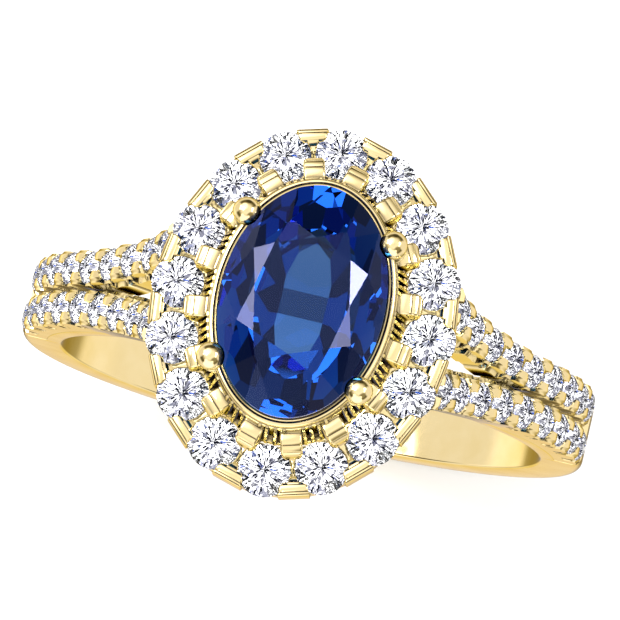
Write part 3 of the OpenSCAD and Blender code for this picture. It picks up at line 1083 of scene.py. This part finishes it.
def make_branch(bm, side, hand):
    """One branch. side is -1 at the front and 1 at the back, hand 1 right and -1 left."""
    step = 0.04
    count = int((HIGHEST_STATION - LOWEST_STATION) / step)
    across = [BRANCH_HALF * (1 - 2 * k / 30) for k in range(31)]
    rings = []
    for i in range(count + 1):
        s = LOWEST_STATION + (HIGHEST_STATION - LOWEST_STATION) * i / count
        low = -arm_thickness(s)
        edge = branch_top(s, BRANCH_HALF)
        loop = [(y, branch_top(s, y)) for y in across]
        for wall in (-1, 1):
            levels = [edge + (low - edge) * j / WALL_STEPS for j in range(1, WALL_STEPS + 1)]
            if wall > 0:
                levels.reverse()
            for z in levels:
                cut = branch_wall(s, DEPTH_ZERO - z, wall != side)
                loop.append((wall * (BRANCH_HALF - cut), z))
        base, out, middle = arm_point(s), outward(s), side * row_y(s)
        ring = []
        for y, z in loop:
            at = Vector((base.x + z * out.x, middle + y, base.z + z * out.z))
            at.z = min(at.z, roof(at.x, at.y))
            ring.append(Vector((hand * at.x, at.y, at.z)))
        rings.append(ring)
    shell(bm, rings)


def make_shoulders():
    for hand, name in ((1, "right"), (-1, "left")):
        bm = bmesh.new()
        for side in (-1, 1):
            make_branch(bm, side, hand)
        metal_piece("branches_" + name, bm, "shoulder_" + name, sharp=38.0)


# ---- hoop ----

BAND_HALF = 1.3
BAND_T = 1.5
# how far the outside circle's middle lies below the finger hole's
BAND_EXTRA = 0.35
HOOP_SHARP = 50.0
# how far the band's, the thin part's and the finger hole's edges are rounded
BAND_EDGE = 0.33
THIN_EDGE = 0.05
BORE_EDGE = 0.10
# half the bridge's width, about where it ends, and how quickly it and the band fade in
BRIDGE_SPAN = 4.1
BRIDGE_END_DEGREES = 25.5
BRIDGE_FADE = 0.04
JOIN_FADE = 0.012


def hoop_outer(theta):
    """Radius of the hoop's outside at an angle from the top."""
    swing = abs(theta)
    plain = BORE_R + BAND_T
    lift, side = BAND_EXTRA * math.cos(swing), BAND_EXTRA * math.sin(swing)
    round_r = -lift + math.sqrt(plain ** 2 - side ** 2)
    bridge_end = math.asin(BRIDGE_SPAN / BRIDGE_R)
    bridge = smooth((bridge_end + BRIDGE_FADE / 2 - swing) / BRIDGE_FADE)
    upper = LINER_R + (BRIDGE_R - LINER_R) * bridge
    low = smooth((swing - JOIN_ANGLE + JOIN_FADE) / JOIN_FADE)
    return upper + (round_r - upper) * low


def hoop_section(theta):
    """A section of the hoop: (radius, y) with softened edges, and a flat, polished inside."""
    outer = hoop_outer(theta)
    edge = BAND_EDGE if outer - BORE_R > 1 else THIN_EDGE
    inside = [math.radians(15 * k) for k in range(7)]
    outside = [math.radians(90 * k / 8) for k in range(9)]
    half = [
        (BORE_R + BORE_EDGE * (1 - math.cos(t)), BAND_HALF - BORE_EDGE * (1 - math.sin(t)))
        for t in inside
    ] + [
        (outer - edge * (1 - math.sin(t)), BAND_HALF - edge * (1 - math.cos(t))) for t in outside
    ]
    return [(r, -y) for r, y in half] + list(reversed(half))


def split_prism():
    """The gap between the branches, as a closed upright prism."""
    half = [(arm_point(1).x, 0.0)]
    s = 1.6
    while s <= ARM_LENGTH:
        y = row_y(s) - BRANCH_HALF - (FILL_WALL + FILL_BOX)
        if y > 0.02:
            half.append((arm_point(s).x, y))
        s += 0.2
    upper = half + [(-x, y) for x, y in reversed(half)]
    outline = upper + [(x, -y) for x, y in reversed(upper[1:-1])]
    bm = bmesh.new()
    shell(bm, [[(x, y, z) for x, y in outline] for z in (2.0, 14.0)])
    return add_object("split", finished_mesh("split", bm))


def make_shank():
    bm = bmesh.new()
    angles = []
    degrees = -180.0
    while degrees < 180.0:
        angles.append(math.radians(degrees))
        at_join = abs(abs(degrees) - JOIN_DEGREES) < 2
        at_bridge = abs(abs(degrees) - BRIDGE_END_DEGREES) < 3
        degrees += 0.25 if at_join or at_bridge else 1.5
    rings = []
    for theta in angles:
        x, z = math.sin(theta), math.cos(theta)
        rings.append([(r * x, y, r * z) for r, y in hoop_section(theta)])
    shell(bm, rings, closed=True)
    piece = metal_piece("hoop", bm, "shank", sharp=HOOP_SHARP)
    cutter = split_prism()
    cut = piece.modifiers.new("split", "BOOLEAN")
    cut.operation = "DIFFERENCE"
    cut.solver = "EXACT"
    cut.object = cutter
    bpy.context.view_layer.update()
    evaluated = piece.evaluated_get(bpy.context.evaluated_depsgraph_get())
    done = bpy.data.meshes.new_from_object(evaluated)
    piece.modifiers.clear()
    piece.data = done
    shade(done, HOOP_SHARP)
    bpy.data.objects.remove(cutter)


make_halo_frame()
make_collar()
make_claws()
make_base_rail()
make_shoulders()
make_shank()

# ---- floor and light ----


def make_floor():
    low = cad_box[0][2]
    half = 0.6
    corners = [(x * half, y * half, low) for x, y in ((-1, -1), (1, -1), (1, 1), (-1, 1))]
    mesh = bpy.data.meshes.new("floor")
    mesh.from_pydata(corners, [], [(0, 1, 2, 3)])
    floor = add_object("floor", mesh)
    material, _, shader = new_material("pale_floor")
    shader.inputs["Base Color"].default_value = (0.95, 0.95, 0.95, 1)
    shader.inputs["Roughness"].default_value = 0.9
    mesh.materials.append(material)


# metres and watts
KEY_PLACE = Vector((-0.10, 0.02, 0.20))
KEY_TARGET = Vector((0, 0, 0.005))
KEY_SIZE = (0.10, 0.06)
KEY_POWER = 0.22


def make_key_light():
    data = bpy.data.lights.new("key", "AREA")
    data.shape = "RECTANGLE"
    data.size, data.size_y = KEY_SIZE
    data.energy = KEY_POWER
    light = add_object("key", data)
    turn = (KEY_TARGET - KEY_PLACE).to_track_quat("-Z", "Y").to_matrix()
    light.matrix_world = Matrix.Translation(KEY_PLACE) @ turn.to_4x4()


GLEAM_DIM = (1.08, 0.97, 0.6)
GLEAM_BRIGHT = (1.0, 1.0, 1.28)


def gleam(level):
    """What gold mirrors: warm where dim, as between facing gold walls, and cool where bright."""
    t = min(1.0, level)
    return tuple(level * (dim + (bright - dim) * t) for dim, bright in zip(GLEAM_DIM, GLEAM_BRIGHT))


# brightness against height, from straight down at 0 to straight up at 1
GOLD_SKY = [
    (0.0, 0.36), (0.12, 0.52), (0.28, 0.95), (0.42, 1.10), (0.50, 0.45), (0.56, 0.10), (0.68, 0.14),
    (0.78, 0.55), (0.86, 1.05), (0.94, 1.35), (1.0, 1.20),
]
# direction, outer and inner angle, brightness
GOLD_PANELS = [
    ((0, -0.6, -0.8), 42, 30, 1.08),
    ((-1, 0.1, -0.40), 34, 22, 1.35),
    ((1, 0.1, -0.40), 34, 22, 1.12),
    ((-0.95, 0.17, 0.15), 34, 22, 1.0),
    ((0.95, 0.17, 0.15), 34, 22, 1.05),
    ((0, -1, 0.1), 38, 28, 1.9),
    ((0, 1, 0.25), 22, 14, 0.06),
    ((0.6, -0.55, 0.58), 30, 12, 0.30),
    ((-0.42, 0.36, 0.83), 32, 10, 2.5),
    ((0.69, 0.32, 0.64), 9, 6, 16.0),
    ((-0.76, 0.31, 0.57), 9, 6, 5.0),
    ((0.72, 0.01, 0.70), 9, 6, 3.6),
    ((-0.79, 0.01, 0.62), 9, 6, 4.5),
    ((-0.35, -0.75, 0.55), 15, 9, 2.0),
    ((0.40, -0.78, 0.48), 12, 8, 1.8),
]
# the white tent that the stones gather light from: cells by the number each draws
TENT_CELLS = [
    (0.0, (0.003, 0.004, 0.008)), (0.13, (0.10, 0.12, 0.17)), (0.17, (0.03, 0.11, 0.60)),
    (0.18, (0.50, 0.54, 0.60)), (0.22, (2.3, 2.3, 2.3)),
]
TENT_CELL_SCALE = 22.0
# direction, outer and inner angle, brightness
TENT_PANELS = [
    ((0, 0, -1), 75, 60, 0.05),
    ((-0.03, -0.15, -0.988), 14, 9, 0.33),
    ((-0.03, 0.54, -0.84), 16, 12, 0.45),
    ((-0.05, 0.17, -0.985), 6, 5, 0.10),
]
# what lights everything but through stones and mirrors
ROOM_LEVEL = 1.22


def add_height(tree, z):
    """Turns a direction's Z, from -1 to 1, into 0 to 1."""
    made = add_node(tree, "ShaderNodeMapRange")
    made.inputs["From Min"].default_value = -1.0
    tree.links.new(z, made.inputs["Value"])
    return made.outputs["Result"]


def blend_panel(tree, direction, under, axis, wide, narrow, colour):
    """Lays a soft-edged round panel of one colour over what is under it."""
    aim = add_node(tree, "ShaderNodeVectorMath", operation="DOT_PRODUCT")
    tree.links.new(direction, aim.inputs[0])
    aim.inputs[1].default_value = Vector(axis).normalized()
    share = add_node(tree, "ShaderNodeMapRange", interpolation_type="SMOOTHSTEP")
    share.inputs["From Min"].default_value = math.cos(math.radians(wide))
    share.inputs["From Max"].default_value = math.cos(math.radians(narrow))
    tree.links.new(aim.outputs["Value"], share.inputs["Value"])
    mix = add_node(tree, "ShaderNodeMix", data_type="RGBA")
    tree.links.new(share.outputs["Result"], mix.inputs["Factor"])
    tree.links.new(under, mix.inputs[6])
    mix.inputs[7].default_value = (*colour, 1)
    return mix.outputs[2]


def make_world():
    """Soft studio surroundings, and for light that has crossed a stone a tent with dark gaps."""
    world = bpy.data.worlds.new("studio")
    bpy.context.scene.world = world
    world.use_nodes = True
    tree = world.node_tree
    link = tree.links.new
    background = tree.nodes["Background"]
    direction = add_node(tree, "ShaderNodeTexCoord").outputs["Generated"]
    height = add_node(tree, "ShaderNodeSeparateXYZ")
    link(direction, height.inputs["Vector"])
    # what the gold mirrors
    sky = [(place, gleam(level)) for place, level in GOLD_SKY]
    mirrored = ramp(tree, add_height(tree, height.outputs["Z"]), sky)
    for axis, wide, narrow, level in GOLD_PANELS:
        mirrored = blend_panel(tree, direction, mirrored, axis, wide, narrow, gleam(level))
    # what the stones gather
    cells = add_node(tree, "ShaderNodeTexVoronoi", Scale=TENT_CELL_SCALE)
    link(direction, cells.inputs["Vector"])
    pick = add_node(tree, "ShaderNodeSeparateColor")
    link(cells.outputs["Color"], pick.inputs["Color"])
    tent = ramp(tree, pick.outputs["Red"], TENT_CELLS, "CONSTANT")
    for axis, wide, narrow, level in TENT_PANELS:
        tent = blend_panel(tree, direction, tent, axis, wide, narrow, grey(level))
    path = add_node(tree, "ShaderNodeLightPath")
    shiny = add_node(tree, "ShaderNodeMix", data_type="RGBA")
    shiny.inputs[6].default_value = (*grey(ROOM_LEVEL), 1)
    link(path.outputs["Is Glossy Ray"], shiny.inputs["Factor"])
    link(mirrored, shiny.inputs[7])
    clear = add_node(tree, "ShaderNodeMix", data_type="RGBA")
    link(path.outputs["Is Transmission Ray"], clear.inputs["Factor"])
    link(shiny.outputs[2], clear.inputs[6])
    link(tent, clear.inputs[7])
    link(clear.outputs[2], background.inputs["Color"])
    background.inputs["Strength"].default_value = 1.0


make_floor()
make_world()
make_key_light()
# the gold and the floor are hidden from rays that have been mirrored or have crossed a stone
for piece in bpy.data.objects:
    if piece.type == "MESH" and not piece.name.startswith("cut_"):
        piece.visible_transmission = False
        piece.visible_glossy = False

scene = bpy.context.scene
scene.view_settings.view_transform = "Standard"
scene.cycles.max_bounces = 24
scene.cycles.transmission_bounces = 20
scene.cycles.glossy_bounces = 8
